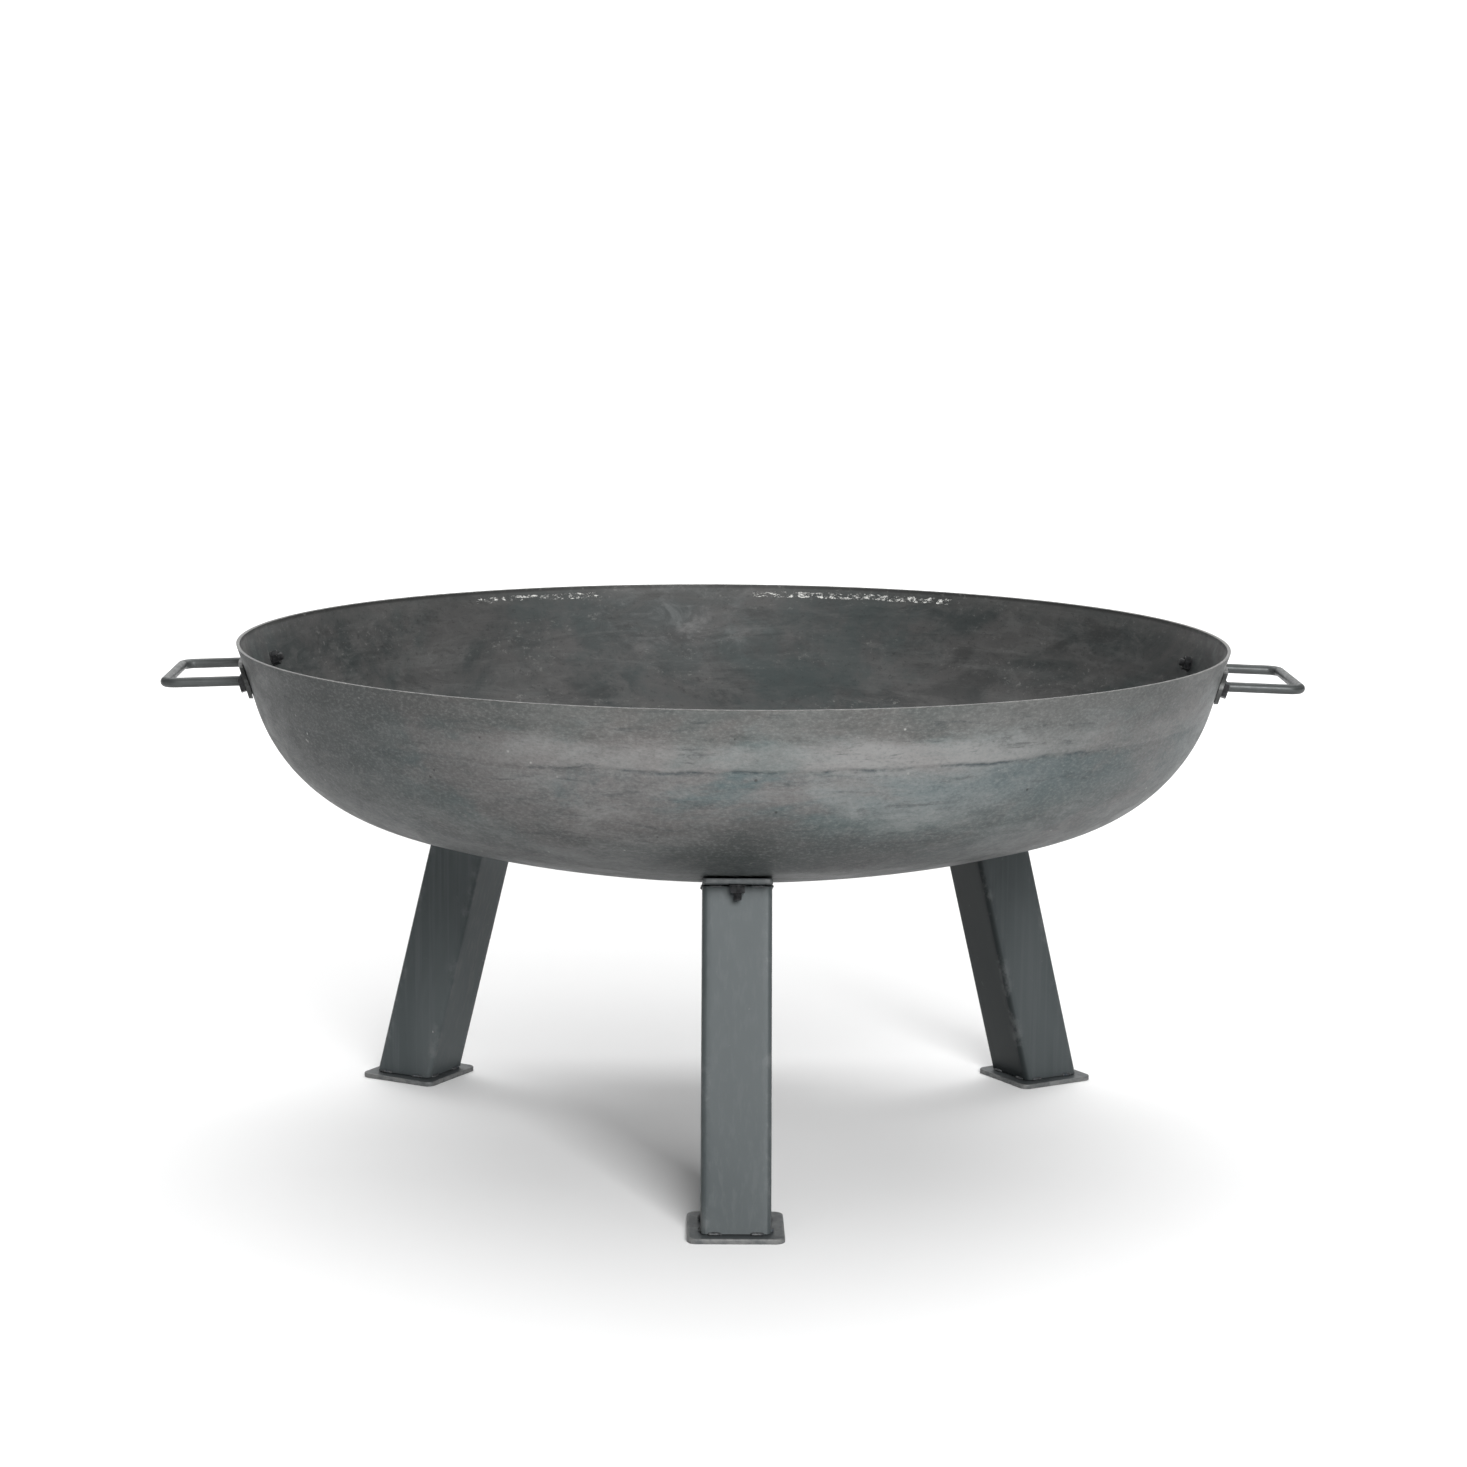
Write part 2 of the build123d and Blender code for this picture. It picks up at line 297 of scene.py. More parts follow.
def plate_steel(name, base, worn_colour, heat_colour):
    steel = Shader(name, 0.20, 0.25)
    cloud = steel.noise(16.0, shift=2.0, detail=5.0, rough=0.6, warp=0.5)
    scale = steel.noise(90.0, shift=6.0, detail=5.0, rough=0.7)
    steel.ground(steel.band(cloud, 0.35, 0.65), base, brighter(base, 1.4))
    steel.coat(scale, 0.58, 0.72, 0.5, brighter(base, 1.9))
    worn = steel.noise(70.0, shift=9.0, rough=0.7)
    worn = steel.times(steel.band(worn, 0.34, 0.60, 0.25, 1.0), steel.attribute("edge"))
    steel.wash(steel.times(worn, 0.75), worn_colour)
    steel.wash(steel.times(steel.attribute("heat"), 0.35), heat_colour)
    return steel.done(steel.band(scale, 0.3, 0.7, 0.42, 0.58), steel.bump(scale, 0.25, 0.0004))


def bar_steel(name, base):
    steel = Shader(name, 0.40, 0.25)
    cloud = steel.noise(24.0, shift=2.0, detail=5.0, rough=0.6, warp=0.4)
    steel.ground(steel.band(cloud, 0.35, 0.68), base, brighter(base, 1.45))
    drawn = steel.noise(1.0, (30, 30, 700), rough=0.6)
    steel.coat(drawn, 0.45, 0.75, 0.4, brighter(base, 1.7))
    rust = steel.noise(130.0, shift=11.0, detail=5.0, rough=0.75)
    steel.coat(rust, 0.62, 0.74, 0.6, (0.050, 0.047, 0.045))
    normal = steel.bump(drawn, 0.12, 0.0003)
    normal = steel.bump(rust, 0.15, 0.0003, normal)
    return steel.done(steel.band(rust, 0.3, 0.7, 0.34, 0.50), normal)


def weld_metal():
    bead = Shader("weld_bead", 0.5)
    ooze = bead.noise(260.0, shift=1.0, rough=0.65)
    bead.ground(bead.band(ooze, 0.35, 0.7), (0.060, 0.064, 0.068), (0.150, 0.154, 0.157))
    blue = bead.noise(120.0, shift=5.0, detail=3.0, rough=0.6)
    bead.coat(blue, 0.52, 0.68, 0.6, (0.065, 0.090, 0.118))
    return bead.done(bead.band(ooze, 0.3, 0.7, 0.30, 0.55), bead.bump(ooze, 0.3, 0.0004))


def black_oxide(name, painted_glint):
    oxide = Shader(name, 0.15, 0.3)
    film = oxide.noise(190.0, shift=3.0, rough=0.65)
    oxide.ground(oxide.band(film, 0.35, 0.70), (0.010, 0.010, 0.011), (0.036, 0.037, 0.039))
    # Painted glint: small pale specks on the dark oxide.
    fine_noise = oxide.noise(420.0, shift=8.0, rough=0.7)
    oxide.coat(fine_noise, 0.62, 0.74, painted_glint, (0.16, 0.16, 0.16))
    return oxide.done(oxide.band(film, 0.3, 0.7, 0.32, 0.50), oxide.bump(fine_noise, 0.15, 0.0002))


def floor_paint():
    paint = Shader("floor_paint", 0.0, 0.1, 1.0)
    grain = paint.noise(3.0, detail=3.0)
    paint.ground(grain, (0.86, 0.86, 0.86), (0.88, 0.88, 0.88))
    return paint.done(0.9)


MATERIALS = {
    "outside": bowl_outside(),
    "inside": bowl_inside(),
    "rim": bare_rim(),
    "leg": leg_steel(),
    "foot": plate_steel("foot_plate_steel", base=(0.074, 0.082, 0.085),
                        worn_colour=(0.25, 0.25, 0.245), heat_colour=(0.05, 0.05, 0.05)),
    "top": plate_steel("top_plate_steel", base=(0.050, 0.058, 0.061),
                       worn_colour=(0.105, 0.110, 0.112), heat_colour=(0.04, 0.045, 0.05)),
    "bar": bar_steel("handle_bar_steel", (0.074, 0.079, 0.079)),
    "flange": bar_steel("handle_flange_steel", (0.066, 0.068, 0.067)),
    "weld": weld_metal(),
    "bolt": black_oxide("bolt_oxide", 0.55),
    "nut": black_oxide("nut_oxide", 0.45),
    "washer": black_oxide("washer_oxide", 0.30),
}


# ---------------------------------------------------------------- mesh helpers
SHARP = math.radians(28)  # an edge that turns more than this is shaded sharp


def make_object(name, verts, faces, materials, face_slots=None, attributes=None):
    """A mesh object with named materials, float attributes per vertex and shading by angle."""
    mesh = bpy.data.meshes.new(name)
    mesh.from_pydata([tuple(vert) for vert in verts], [], faces)
    for key in materials:
        mesh.materials.append(MATERIALS[key])
    if face_slots is not None:
        mesh.polygons.foreach_set("material_index", face_slots)
    for key, values in (attributes or {}).items():
        layer = mesh.attributes.new(key, "FLOAT", "POINT")
        layer.data.foreach_set("value", np.asarray(values, np.float32))
    mesh.polygons.foreach_set("use_smooth", [True] * len(mesh.polygons))
    obj = bpy.data.objects.new(name, mesh)
    scene.collection.objects.link(obj)
    edit = bmesh.new()
    edit.from_mesh(mesh)
    bmesh.ops.recalc_face_normals(edit, faces=edit.faces)
    for edge in edit.edges:
        if len(edge.link_faces) == 2:
            edge.smooth = edge.calc_face_angle(0.0) < SHARP
    edit.to_mesh(mesh)
    edit.free()
    return obj


def adopt(obj, node):
    """The piece stands for one CAD node: it goes under the root body, and the node is hidden."""
    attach(obj, "root")
    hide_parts(node)


def cad_points(node):
    mesh = nodes[node].data
    co = np.zeros(len(mesh.vertices) * 3)
    mesh.vertices.foreach_get("co", co)
    return co.reshape(-1, 3)


def centre(node):
    low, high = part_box(node)
    return (low + high) / 2


def halfway(values):
    return (values.min() + values.max()) / 2


def flat_normal(node, toward):
    """Normal of the node's largest facet, turned to face toward."""
    face = max(nodes[node].data.polygons, key=lambda polygon: polygon.area)
    normal = Vector(face.normal)
    return normal if normal.dot(toward) > 0 else -normal


def reach(node, origin, axis):
    """How far a node extends along an axis, both ways, from origin."""
    along = (cad_points(node) - np.array(origin)) @ np.array(axis)
    return along.min(), along.max()


def upright(origin, axis, side):
    """A frame at origin whose z is axis and whose x is as near side as it can be."""
    z = Vector(axis).normalized()
    x = (Vector(side) - z * z.dot(side)).normalized()
    return Matrix.Translation(origin) @ Matrix((x, z.cross(x), z)).transposed().to_4x4()


def grid_faces(rows, cols, closed_rows=False):
    """Quads of a grid whose columns wrap around; rows wrap too when closed_rows."""
    faces = []
    last = rows if closed_rows else rows - 1
    for row in range(last):
        here, there = row * cols, ((row + 1) % rows) * cols
        for col in range(cols):
            beside = (col + 1) % cols
            faces.append((here + col, here + beside, there + beside, there + col))
    return faces


def turned_shape(name, rings, cols, materials, shape, close):
    """A surface through rings (radius, height), each point bent by shape(radius, height, angle).

    With close, the last ring joins the first. Otherwise both ends are capped."""
    verts = []
    for radius, height in rings:
        for col in range(cols):
            verts.append(shape(radius, height, 2 * math.pi * col / cols))
    faces = grid_faces(len(rings), cols, close)
    if not close:
        faces.append(tuple(range(cols)))
        end = (len(rings) - 1) * cols
        faces.append(tuple(range(end, end + cols)))
    return make_object(name, verts, faces, materials)


# ---------------------------------------------------------------- bowl
BOWL_COLS = 720
BOWL_STEPS = (64, 70, 60)  # rows down the wall, around the bend and across the bottom
BOWL_MIDDLE = 0.004  # angle of the innermost row, in radians
LIP = 0.0005  # how far the rim's edges are eased
OUTSIDE, RIM, INSIDE = 0, 1, 2  # material slots

LEG_DEGREES = (30, 150, 270)
HANDLE_GAP = 0.28  # sine of the half angle around each handle where the wall has no fold
FOLD_Z, FOLD_HALF_WIDTH, FOLD_DEPTH, SHELF_DEPTH = 0.4450, 0.0024, 0.0011, 0.0007
CREASE_HALF_WIDTH = 0.0015
DENT, DENT_COUNT = 0.00022, 4
CHALK_ARCS = ((56, 60, 86, 90), (104, 108, 124, 129))  # degrees: begins, is whole, thins, ends
CHALK_SPECKS, CHALK_REACH = 0.10, 72  # a trace of it, within so many degrees of the back


def bowl_profile(inset):
    """Points (radius, z, outward r, outward z) from the rim to the middle, inset into the sheet."""
    wall_steps, bend_steps, bottom_steps = BOWL_STEPS
    out = (math.cos(LEAN), -math.sin(LEAN))
    foot_r, foot_z = RIM_RADIUS - WALL * math.sin(LEAN), RIM_Z - WALL * math.cos(LEAN)
    bend_r, bend_z = foot_r - KNUCKLE * out[0], foot_z - KNUCKLE * out[1]
    top = bend_z + math.sqrt((CROWN - KNUCKLE) ** 2 - bend_r ** 2)
    blend = math.asin(bend_r / (CROWN - KNUCKLE))
    rows = []
    for t in np.linspace(inset * math.sin(LEAN) / WALL, 1, wall_steps, endpoint=False):
        drop = (RIM_Z - foot_z) * t
        rows.append((RIM_RADIUS - drop * math.tan(LEAN) - inset / math.cos(LEAN), RIM_Z - drop, *out))

    def arc(centre_r, centre_z, radius, turn):
        sine, cosine = math.sin(turn), math.cos(turn)
        return centre_r + radius * sine, centre_z - radius * cosine, sine, -cosine

    for turn in np.linspace(math.pi / 2 - LEAN, blend, bend_steps, endpoint=False):
        rows.append(arc(bend_r, bend_z, KNUCKLE - inset, turn))
    for turn in np.linspace(blend, BOWL_MIDDLE, bottom_steps):
        rows.append(arc(0.0, top, CROWN - inset, turn))
    return rows


def bowl_rows():
    """The whole section, from the middle of the underside over the rim to the middle of the inside."""
    outer, inner = bowl_profile(0.0), bowl_profile(SHEET)
    for side in (outer, inner):
        radius, _, *out = side[0]
        side[0] = (radius - LIP * 0.3, RIM_Z - LIP * 1.2, *out)
    edge_out, edge_in = RIM_RADIUS, RIM_RADIUS - SHEET / math.cos(LEAN)
    rim = [(edge_out - LIP * 0.2, RIM_Z - LIP * 0.4, 0, 0), (edge_out - LIP, RIM_Z, 0, 0),
           (edge_in + LIP, RIM_Z, 0, 0), (edge_in + LIP * 0.2, RIM_Z - LIP * 0.4, 0, 0)]
    slots = [OUTSIDE] * (len(outer) - 1) + [RIM] * (len(rim) + 1) + [INSIDE] * (len(inner) - 1)
    return outer[::-1] + rim + inner, slots


def waves(rng, count, low, high):
    """A repeatable sum of sines around the bowl, with low to high waves in a turn."""
    terms = [(rng.randint(low, high), rng.uniform(0, 2 * math.pi), rng.uniform(0.5, 1.0))
             for _ in range(count)]
    scale = sum(weight for _, _, weight in terms)

    def value(angle):
        return sum(weight * np.sin(turns * angle + start) for turns, start, weight in terms) / scale
    return value


def ease(x, low, high):
    """Goes smoothly from 0 at low to 1 at high; low may be the greater."""
    t = np.clip((x - low) / (high - low), 0.0, 1.0)
    return t * t * (3 - 2 * t)


def around_legs(degrees):
    """1 over each leg, falling away to both sides."""
    return sum(np.exp(-(((degrees - leg + 180) % 360 - 180) / 8.0) ** 2) for leg in LEG_DEGREES)


def chalk_around(degrees):
    arcs = sum(ease(degrees, begins, whole) * ease(degrees, ends, thins)
               for begins, whole, thins, ends in CHALK_ARCS)
    return arcs + CHALK_SPECKS * (np.abs(degrees - 90) < CHALK_REACH)


def build_bowl():
    """The pressed sheet, with a wavy fold line under its wall, shallow dents, and masks for its finish and
    for its painted shade, reflection and highlight.
    """
    rng = random.Random(11)
    angle = np.linspace(0, 2 * np.pi, BOWL_COLS, endpoint=False)
    degrees = np.degrees(angle)
    slow, quick, jag = waves(rng, 5, 2, 9), waves(rng, 7, 11, 40), waves(rng, 9, 60, 190)
    fold_z = FOLD_Z + 0.0035 * slow(angle) + 0.0022 * quick(angle) + 0.0014 * jag(angle)
    front = np.exp(-(((degrees - 290) / 44.0) ** 4))
    strength = np.clip(0.28 + 0.85 * front + 0.35 * waves(rng, 6, 5, 23)(angle), 0.0, 1.0)
    folded = (np.abs(np.sin(angle)) > HANDLE_GAP) * strength
    dents = [(waves(rng, 5, 3, 14), rng.uniform(20, 60), rng.uniform(0, 6)) for _ in range(DENT_COUNT)]
    legs, chalk = around_legs(degrees), chalk_around(degrees)
    rows, row_slots = bowl_rows()
    verts, marks = [], {"crease": [], "bruise": [], "warm": [], "chalk": [], "seat": []}
    for radius, z, out_r, out_z in rows:
        above = z - fold_z
        quiet = ease(RIM_Z - z, 0.0, 0.02) * ease(radius, 0.30, 0.36)
        push = np.zeros(BOWL_COLS)
        for wave, rate, start in dents:
            push += DENT * wave(angle) * math.sin(rate * z + start)
        push = (push - 0.0007) * quiet
        groove = FOLD_DEPTH * np.exp(-(above / FOLD_HALF_WIDTH) ** 2)
        shelf = SHELF_DEPTH * ease(above, 0.002, -0.004) * ease(z, 0.395, 0.43)
        push -= folded * (groove + shelf) * (radius > 0.3)
        r = radius + out_r * push
        verts.append(np.stack([r * np.cos(angle), r * np.sin(angle), z + out_z * push], -1))
        # Mask for the painted shade along the fold.
        marks["crease"].append(np.exp(-(above / CREASE_HALF_WIDTH) ** 2) * strength)
        marks["bruise"].append(ease(above, 0.001, -0.004) * ease(z, 0.385, 0.43) * (0.25 + 0.75 * strength))
        # Painted highlight: a band above the fold, strongest at the front.
        marks["warm"].append(ease(above, -0.001, 0.004) * ease(z, 0.476, 0.462) * (0.2 + 0.8 * strength))
        # Mask for the painted shade and reflection of each leg over its seat.
        marks["seat"].append(legs * ease(z, 0.425, 0.355))
        marks["chalk"].append(chalk * ease(z, 0.4875, 0.4905) * ease(z, 0.4990, 0.4965))

    faces = grid_faces(len(rows), BOWL_COLS)
    slots = [slot for slot in row_slots for _ in range(BOWL_COLS)]
    under = len(rows) * BOWL_COLS
    verts = np.vstack([*verts, [[0, 0, rows[0][1]]], [[0, 0, rows[-1][1]]]])
    last_row = under - BOWL_COLS
    for col in range(BOWL_COLS):
        beside = (col + 1) % BOWL_COLS
        faces.append((under, beside, col))
        faces.append((under + 1, last_row + col, last_row + beside))
        slots += [OUTSIDE, INSIDE]
    flat = {key: np.append(np.concatenate(values), [0, 0]) for key, values in marks.items()}
    bowl = make_object("bowl_sheet", verts, faces, ("outside", "rim", "inside"), slots, flat)
    adopt(bowl, "bowl")


# ---------------------------------------------------------------- legs
TUBE_HALF, TUBE_WALL, TUBE_CORNER = 0.0325, 0.003, 0.005
TUBE_STEPS = 60
FOOT_HALF, FOOT_THICK, FOOT_CORNER, FOOT_BEVEL = 0.045, 0.005, 0.009, 0.0011
SEAT_HALF_LENGTH, SEAT_HALF_WIDTH, SEAT_CORNER, SEAT_BEVEL = 0.060, 0.0325, 0.004, 0.0008
# How far each leg is darkened, on most faces and on its inner face; the inner face's extra darkening is
# painted shade.
LEG_TONE_AND_PAINTED_SHADE = {"front": (0.27, 0.27), "right": (0.28, 0.96), "left": (0.0, 0.0)}  # most faces, inner face
FOOT_BEAD, SEAT_BEAD = 0.0019, 0.0014
BEAD_STEPS = 44
TOUCHING = 1e-4


def rounded_outline(half_x, half_y, corner, per_corner, per_side):
    """Points around a rounded rectangle, each with how near it is to a corner."""
    quarters = ((1, 1), (-1, 1), (-1, -1), (1, -1))
    points = []
    for quarter in range(4):
        sign_x, sign_y = quarters[quarter]
        middle_x, middle_y = sign_x * (half_x - corner), sign_y * (half_y - corner)
        for step in range(per_corner + 1):
            turn = math.pi / 2 * (quarter + step / per_corner)
            points.append((middle_x + corner * math.cos(turn), middle_y + corner * math.sin(turn), 1.0))
        sign_x, sign_y = quarters[(quarter + 1) % 4]
        turn = math.pi / 2 * (quarter + 1)
        next_x = sign_x * (half_x - corner) + corner * math.cos(turn)
        next_y = sign_y * (half_y - corner) + corner * math.sin(turn)
        x, y = points[-1][:2]
        for step in range(1, per_side):
            t = step / per_side
            near = max(0.0, 1.0 - min(t, 1 - t) * per_side / 1.5)
            points.append((x + (next_x - x) * t, y + (next_y - y) * t, near * 0.6))
    return points


def leg_directions(side):
    """Outward and sideways directions of one leg, and the normal of the seat on top of it."""
    foot = centre(f"leg_{side}_foot_plate")
    radial = Vector((foot.x, foot.y, 0)).normalized()
    return radial, Vector((-radial.y, radial.x, 0)), flat_normal(f"leg_{side}_top_plate", UP)


def tube_ends(side, radial, seat):
    """Middles of the tube's two cut ends: one level on the foot plate, one square to the seat normal."""
    points = cad_points(f"leg_{side}_tube")
    outward, toward_seat = points @ np.array(radial), points @ np.array(seat)
    lower = points[:, 2] < points[:, 2].min() + TOUCHING
    upper = toward_seat > toward_seat.max() - TOUCHING
    low, high = radial * halfway(outward[lower]), radial * halfway(outward[upper])
    low.z, high.z = points[lower][0, 2], halfway(points[upper][:, 2])
    return low, high


def build_tube(side):
    """Hollow square tube, mitred level at the foot and to the seat at the top."""
    radial, across, seat = leg_directions(side)
    low, high = tube_ends(side, radial, seat)
    axis = (high - low).normalized()
    out = across.cross(axis)
    if out.dot(radial) < 0:
        out = -out
    most_faces, inner_face = LEG_TONE_AND_PAINTED_SHADE[side]
    inside = TUBE_HALF - TUBE_WALL
    outer = rounded_outline(TUBE_HALF, TUBE_HALF, TUBE_CORNER, 6, 12)
    inner = rounded_outline(inside, inside, TUBE_CORNER - TUBE_WALL, 6, 12)
    cuts = [0.0, 0.002, *np.linspace(0.01, 0.99, TUBE_STEPS), 0.998, 1.0]
    verts, marks = [], {"edge": [], "heat": [], "shade": []}
    for outline, order in ((outer, cuts), (inner, cuts[::-1])):
        for t in order:
            for x, y, near in outline:
                start = low + out * x + across * y
                start -= axis * ((start.z - low.z) / axis.z)
                end = start + axis * ((high - start).dot(seat) / axis.dot(seat))
                verts.append(start.lerp(end, t))
                inward = float(ease(-x, 0.026, 0.031))
                marks["edge"].append(near if 0 < t < 1 else 0.8)
                marks["heat"].append(max(0.0, 1 - t * 30, 1 - (1 - t) * 30))
                marks["shade"].append(most_faces + (inner_face - most_faces) * inward)
    faces = grid_faces(2 * len(cuts), len(outer), True)
    tube = make_object(f"leg_{side}_square_tube", verts, faces, ("leg",), None, marks)
    adopt(tube, f"leg_{side}_tube")


def build_plate(name, node, material, place, half_x, half_y, thickness, corner, bevel, heat):
    """A rounded rectangular plate with eased edges, whose underside is at place's z = 0."""
    under = [(half_x * 0.6, 0.0), (bevel * 3, 0.0)]
    edge = [(bevel * 0.55, 0.0), (bevel * 0.15, bevel * 0.25), (0.0, bevel * 0.6),
            (0.0, thickness - bevel * 0.9), (bevel * 0.2, thickness - bevel * 0.35),
            (bevel * 0.8, thickness)]
    top = [(bevel * 2.5, thickness), (half_x * 0.30, thickness), (half_x * 0.62, thickness)]
    rows = under + edge + top
    hot = len(rows) - 2
    verts, marks = [], {"edge": [], "heat": []}
    for index, (inset, z) in enumerate(rows):
        ring = rounded_outline(half_x - inset, half_y - inset, max(corner - inset, 0.0006), 8, 10)
        verts += [place @ Vector((x, y, z)) for x, y, _ in ring]
        on_edge = len(under) <= index < len(under) + len(edge)
        marks["edge"] += [1.0 if on_edge else 0.0] * len(ring)
        marks["heat"] += [heat if index == hot else 0.0] * len(ring)
    count = len(verts) // len(rows)
    faces = grid_faces(len(rows), count)
    faces.append(tuple(range(count)))
    faces.append(tuple(range(len(verts) - count, len(verts))))
    plate = make_object(name, verts, faces, (material,), None, marks)
    adopt(plate, node)


def build_leg_plates(side):
    radial, _, seat = leg_directions(side)
    foot = centre(f"leg_{side}_foot_plate")
    on_floor = upright(Vector((foot.x, foot.y, 0)), UP, radial)
    build_plate(f"leg_{side}_foot", f"leg_{side}_foot_plate", "foot", on_floor,
                FOOT_HALF, FOOT_HALF, FOOT_THICK, FOOT_CORNER, FOOT_BEVEL, 0.2)
    top_node = f"leg_{side}_top_plate"
    bottom, top = reach(top_node, centre(top_node), seat)
    on_tube = upright(centre(top_node) + seat * bottom, seat, radial)
    build_plate(f"leg_{side}_seat", top_node, "top", on_tube,
                SEAT_HALF_LENGTH, SEAT_HALF_WIDTH, top - bottom, SEAT_CORNER, SEAT_BEVEL, 0.0)


# ---------------------------------------------------------------- welds
def islands(node):
    """Vertex coordinates of each separate solid in a CAD node."""
    edit = bmesh.new()
    edit.from_mesh(nodes[node].data)
    bmesh.ops.remove_doubles(edit, verts=edit.verts, dist=1e-6)
    seen, groups = set(), []
    for first in edit.verts:
        if first.index in seen:
            continue
        stack, group = [first], []
        seen.add(first.index)
        while stack:
            vert = stack.pop()
            group.append(tuple(vert.co))
            for edge in vert.link_edges:
                other = edge.other_vert(vert)
                if other.index not in seen:
                    seen.add(other.index)
                    stack.append(other)
        groups.append(np.array(group))
    edit.free()
    return groups


def merge(name, pieces, node):
    """Joins several meshes into the piece that stands for one CAD node."""
    mesh = bpy.data.meshes.new(name)
    joined = bmesh.new()
    for piece in pieces:
        joined.from_mesh(piece.data)
        bpy.data.objects.remove(piece)
    joined.to_mesh(mesh)
    joined.free()
    mesh.materials.append(MATERIALS["weld"])
    obj = bpy.data.objects.new(name, mesh)
    scene.collection.objects.link(obj)
    adopt(obj, node)


def build_tacks(node, name, rng, size):
    """Rippled beads along each weld run of the CAD node."""
    beads = []
    for points in islands(node):
        middle = (points.min(0) + points.max(0)) / 2
        along = np.linalg.svd(points - points.mean(0))[2][0]
        span = (points - middle) @ along
        middle = middle + along * halfway(span)
        half = (span.max() - span.min()) / 2
        place = upright(Vector(middle), Vector(along), Vector((0.1, 0.2, 1.0)))
        full = size * rng.uniform(0.92, 1.05)
        pitch = rng.uniform(0.0012, 0.0015)
        shift = rng.random()
        swell = 1 + rng.uniform(0.12, 0.3)
        rings = []
        for step in range(BEAD_STEPS + 1):
            t = -1 + 2 * step / BEAD_STEPS
            ripple = (t * half / pitch + shift) % 1.0
            body = math.sqrt(max(1 - abs(t) ** 3.2, 0.0)) * full
            body *= 1 + 0.13 * (1 - ripple) ** 2 - 0.05
            rings.append((max(body, 0.00008), t * half * 0.97))

        def bend(radius, height, angle):
            x, y = radius * math.cos(angle), radius * math.sin(angle) * swell
            return place @ Vector((x, y, height - 0.25 * x))

        beads.append(turned_shape("bead", rings, 18, ("weld",), bend, False))
    merge(name, beads, node)


COLLAR_TALL, COLLAR_FOOT, COLLAR_SLOPE = 0.0036, 0.0088, 0.0030
COLLAR_MOUTH = 0.0055  # radius where the collar starts to turn in against the bar


def build_collars(node, name, rng):
    """Rippled weld fillet around each end of a handle's bar."""
    collars = []
    for points in islands(node):
        middle = Vector((points.min(0) + points.max(0)) / 2)
        turn = math.atan2(middle.y, middle.x)
        out = Vector((math.cos(LEAN) * math.cos(turn), math.cos(LEAN) * math.sin(turn), -math.sin(LEAN)))
        ends = (points - np.array(middle)) @ np.array(out)
        place = upright(middle + out * float(ends.min()), out, UP)
        rings = []
        for step in range(15):
            t = step / 14
            rings.append((COLLAR_FOOT - COLLAR_SLOPE * t ** 0.75, COLLAR_TALL * t))
        for step in range(1, 5):
            rings.append((COLLAR_MOUTH - 0.0008 * step, COLLAR_TALL - 0.0004 * step))
        lobes = rng.randint(13, 16)
        phase = rng.random()

        def ripple(radius, height, angle):
            wave = (angle / (2 * math.pi) * lobes + phase + 60 * height) % 1.0
            grown = radius * (1 + 0.055 * (1 - wave) ** 2 - 0.03 + 0.02 * math.sin(3 * angle + phase * 6))
            lift = 0.0003 * math.sin(lobes * angle) if height > 0.0005 else 0.0
            return place @ Vector((grown * math.cos(angle), grown * math.sin(angle), height + lift))

        collars.append(turned_shape("collar", rings, 96, ("weld",), ripple, False))
    merge(name, collars, node)


# ---------------------------------------------------------------- fasteners
FLATS, HEAD, NUT, PITCH = 0.013, 0.0053, 0.0065, 0.00125
THREAD, THREAD_DEPTH = 0.0040, 0.00065  # radius over the crests, and how deep the thread is cut
HEX_CORNER = FLATS / 2 / math.cos(math.pi / 6)
BEYOND = 0.0080  # a ring this wide is cut back to the hexagon
ROUND = 0.0055  # rings up to this radius stay round
TURNED_OFF, TURNED_SLOPE = 0.0009, 1.6  # how the hexagon's corners are turned off
WASHER, WASHER_HOLE, WASHER_THICK = 0.0080, 0.0043, 0.0016


def clipped(radius, height, angle, tall, both):
    """Hexagon with its corners turned off at the free face, or at both faces."""
    if radius <= ROUND:
        return radius
    room = min(tall - height, height) if both else tall - height
    in_hexagon = FLATS / 2 / math.cos((angle + math.pi / 6) % (math.pi / 3) - math.pi / 6)
    return min(radius, HEX_CORNER - TURNED_OFF + room * TURNED_SLOPE, in_hexagon)


def build_bolt(node, axis, side):
    """Hex bolt with a threaded shank. axis points from the thread's end to the head."""
    nut = centre(node.replace("bolt", "nut"))
    middle = nut + axis * (centre(node) - nut).dot(axis)
    low, high = reach(node, middle, axis)
    place = upright(middle + axis * low, axis, side)
    shank, total = high - low - HEAD, high - low
    rings = [(0.0026, 0.0), (0.0031, 0.0001)]
    rings += [(THREAD, z) for z in np.linspace(0.0004, shank - 0.0002, int(shank / PITCH * 8))]
    rings += [(0.0058, shank), (0.0066, shank)]
    rings += [(BEYOND, shank), (BEYOND, shank + 0.0006), (BEYOND, shank + 0.0014)]
    rings += [(BEYOND, shank + HEAD * part) for part in (0.45, 0.65, 0.8, 0.86, 0.9, 0.94, 0.97, 1.0)]
    rings += [(0.0054, total), (0.0050, total - 0.00012), (0.0022, total - 0.00016)]

    def shape(radius, z, angle):
        if radius <= THREAD and 0.0002 < z < shank - 0.0003:
            wave = (z / PITCH - angle / (2 * math.pi)) % 1.0
            radius = THREAD - THREAD_DEPTH * (1 - abs(wave - 0.5) * 2) ** 1.1
            radius = min(radius, 0.0030 + z * 0.9)
        radius = clipped(radius, z - shank, angle, HEAD, False)
        return place @ Vector((radius * math.cos(angle), radius * math.sin(angle), z))

    bolt = turned_shape(node + "_m8", rings, 48, ("bolt",), shape, False)
    adopt(bolt, node)


